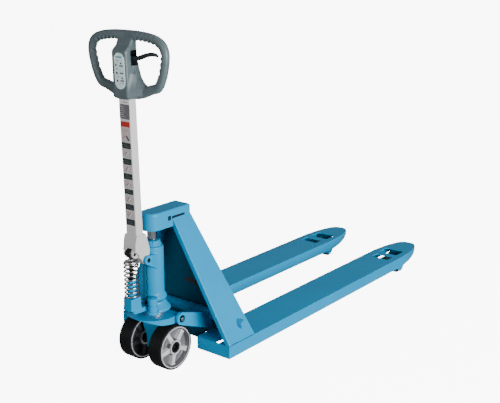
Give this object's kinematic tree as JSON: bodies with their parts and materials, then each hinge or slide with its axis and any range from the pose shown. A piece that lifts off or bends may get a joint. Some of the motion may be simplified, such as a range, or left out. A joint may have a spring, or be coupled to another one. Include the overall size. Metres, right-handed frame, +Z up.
{
  "type": "pallet jack",
  "caption": "Hand pallet truck with long channel forks, an A-frame, a steered hydraulic pump on twin wheels, load rollers in the tips and a loop-grip handle.",
  "frame": {"origin": "on the floor under the middle of the truck's bounding box", "axes": "+Y along the forks towards their tips, +X to the truck's right, +Z up"},
  "size_m": [0.57, 1.778, 1.2855],
  "materials": {
    "frame_paint": "glossy cyan-blue enamel",
    "steel": "zinc-plated steel",
    "chrome": "hard chrome",
    "rim_aluminium": "cast aluminium, machined lip",
    "silver_casting": "silver-grey paint on a casting",
    "silver_tube": "silver-grey satin paint",
    "tyre_rubber": "black rubber",
    "roller_nylon": "dark nylon",
    "seal_rubber": "black rubber",
    "grip_plastic": "dark grey-green moulded plastic",
    "black_plastic": "black moulded plastic",
    "label": null,
    "black_steel": "blackened steel"
  },
  "bodies": {
    "root": {"fork_left": "frame_paint", "fork_right": "frame_paint", "side_panel_left": "frame_paint", "side_panel_right": "frame_paint", "head": "frame_paint", "back_shroud": "frame_paint", "rocker_shaft": "frame_paint", "yoke_pivot_pin_left": "steel", "yoke_pivot_pin_right": "steel", "piston_rod": "chrome"},
    "rocker": {"rocker_tube": "frame_paint", "rocker_arm_left": "frame_paint", "rocker_arm_right": "frame_paint", "arm_pin_left": "steel", "arm_pin_right": "steel", "rocker_lever_left": "frame_paint", "rocker_lever_right": "frame_paint"},
    "push_rod_left": {"push_rod_left": "frame_paint", "push_rod_pin_left": "steel"},
    "push_rod_right": {"push_rod_right": "frame_paint", "push_rod_pin_right": "steel"},
    "yoke_left": {"load_yoke_left": "frame_paint", "load_axle_left": "steel"},
    "yoke_right": {"load_yoke_right": "frame_paint", "load_axle_right": "steel"},
    "load_wheel_left": {"load_roller_left": "roller_nylon", "load_bearing_left": "steel"},
    "load_wheel_right": {"load_roller_right": "roller_nylon", "load_bearing_right": "steel"},
    "bearing_bracket": {"bearing_bracket": "frame_paint", "thrust_bearing": "steel"},
    "steering": {"pump_cylinder": "frame_paint", "gland_nut": "frame_paint", "wiper_seal": "seal_rubber", "pump_base": "frame_paint", "plunger_housing": "frame_paint", "plunger_guide": "frame_paint", "return_spring": "steel", "release_valve": "frame_paint", "steer_column": "frame_paint", "steer_axle": "steel", "handle_pivot_pin": "steel"},
    "steer_wheel_left": {"steer_rim_left": "rim_aluminium", "steer_tyre_left": "tyre_rubber", "steer_bearing_left": "black_steel"},
    "steer_wheel_right": {"steer_rim_right": "rim_aluminium", "steer_tyre_right": "tyre_rubber", "steer_bearing_right": "black_steel"},
    "plunger": {"pump_plunger": "black_steel", "spring_cap": "black_steel"},
    "release_rod": {"release_rod": "steel"},
    "release_lever": {"release_lever": "black_steel"},
    "handle": {"handle_bracket": "silver_casting", "cam_roller": "black_steel", "cam_roller_pin": "steel", "handle_tube": "silver_tube", "handle_grip": "grip_plastic", "instruction_plate": "label", "control_lever_pin": "steel"},
    "control_lever": {"control_lever": "black_plastic"}
  },
  "joints": [
    {"name": "lift", "type": "slide", "parent": "root", "child": "bearing_bracket", "axis": [0, 0, -1], "range_m": [-0.017, 0.083]},
    {"name": "rocker_turn", "type": "hinge", "parent": "root", "child": "rocker", "pos_m": [0, -0.546, 0.161], "axis": [1, 0, 0], "range_deg": [-6, 28]},
    {"name": "push_rod_left_turn", "type": "hinge", "parent": "rocker", "child": "push_rod_left", "pos_m": [-0.2315, -0.567, 0.072], "axis": [1, 0, 0], "range_deg": [-31, 7]},
    {"name": "push_rod_right_turn", "type": "hinge", "parent": "rocker", "child": "push_rod_right", "pos_m": [0.2315, -0.567, 0.072], "axis": [1, 0, 0], "range_deg": [-31, 7]},
    {"name": "yoke_left_turn", "type": "hinge", "parent": "root", "child": "yoke_left", "pos_m": [-0.204, 0.846, 0.084], "axis": [1, 0, 0], "range_deg": [-10, 48]},
    {"name": "yoke_right_turn", "type": "hinge", "parent": "root", "child": "yoke_right", "pos_m": [0.204, 0.846, 0.084], "axis": [1, 0, 0], "range_deg": [-10, 48]},
    {"name": "load_wheel_left_spin", "type": "hinge", "parent": "yoke_left", "child": "load_wheel_left", "pos_m": [-0.204, 0.716, 0.0375], "axis": [1, 0, 0], "continuous": true},
    {"name": "load_wheel_right_spin", "type": "hinge", "parent": "yoke_right", "child": "load_wheel_right", "pos_m": [0.204, 0.716, 0.0375], "axis": [1, 0, 0], "continuous": true},
    {"name": "steering_turn", "type": "hinge", "parent": "bearing_bracket", "child": "steering", "pos_m": [0, -0.748, 0.224], "axis": [0, 0, 1], "range_deg": [-100, 100]},
    {"name": "steer_wheel_left_spin", "type": "hinge", "parent": "steering", "child": "steer_wheel_left", "pos_m": [-0.0785, -0.748, 0.089], "axis": [1, 0, 0], "continuous": true},
    {"name": "steer_wheel_right_spin", "type": "hinge", "parent": "steering", "child": "steer_wheel_right", "pos_m": [0.0785, -0.748, 0.089], "axis": [1, 0, 0], "continuous": true},
    {"name": "handle_tilt", "type": "hinge", "parent": "steering", "child": "handle", "pos_m": [0, -0.814, 0.443], "axis": [1, 0, 0], "range_deg": [0, 65], "stiffness_Nm_per_rad": 25, "springref_deg": -14.32},
    {"name": "plunger_slide", "type": "slide", "parent": "steering", "child": "plunger", "axis": [0, 0, -1], "range_m": [0, 0.063], "deforming": ["return_spring"]},
    {"name": "control_lever_turn", "type": "hinge", "parent": "handle", "child": "control_lever", "pos_m": [0.024, -0.85266, 1.18881], "axis": [0, 0.9997, 0.0248], "range_deg": [-9, 3], "stiffness_Nm_per_rad": 3},
    {"name": "release_rod_slide", "type": "slide", "parent": "steering", "child": "release_rod", "axis": [0, 0, 1], "range_m": [-0.0033, 0.0033]},
    {"name": "release_lever_turn", "type": "hinge", "parent": "steering", "child": "release_lever", "pos_m": [0.0195, -0.809, 0.268], "axis": [1, 0, 0], "range_deg": [-23, 23]}
  ],
  "couplings": [
    {"joint": "rocker_turn", "follows": "lift", "rad_per_m": 5.72},
    {"joint": "push_rod_left_turn", "follows": "lift", "rad_per_m": -6.3},
    {"joint": "push_rod_right_turn", "follows": "lift", "rad_per_m": -6.3},
    {"joint": "yoke_left_turn", "follows": "lift", "rad_per_m": 9.948},
    {"joint": "yoke_right_turn", "follows": "lift", "rad_per_m": 9.948},
    {"joint": "plunger_slide", "follows": "handle_tilt", "m_per_rad": 0.0549},
    {"joint": "release_rod_slide", "follows": "control_lever_turn", "m_per_rad": -0.02},
    {"joint": "release_lever_turn", "follows": "control_lever_turn", "ratio": -2.5}
  ]
}
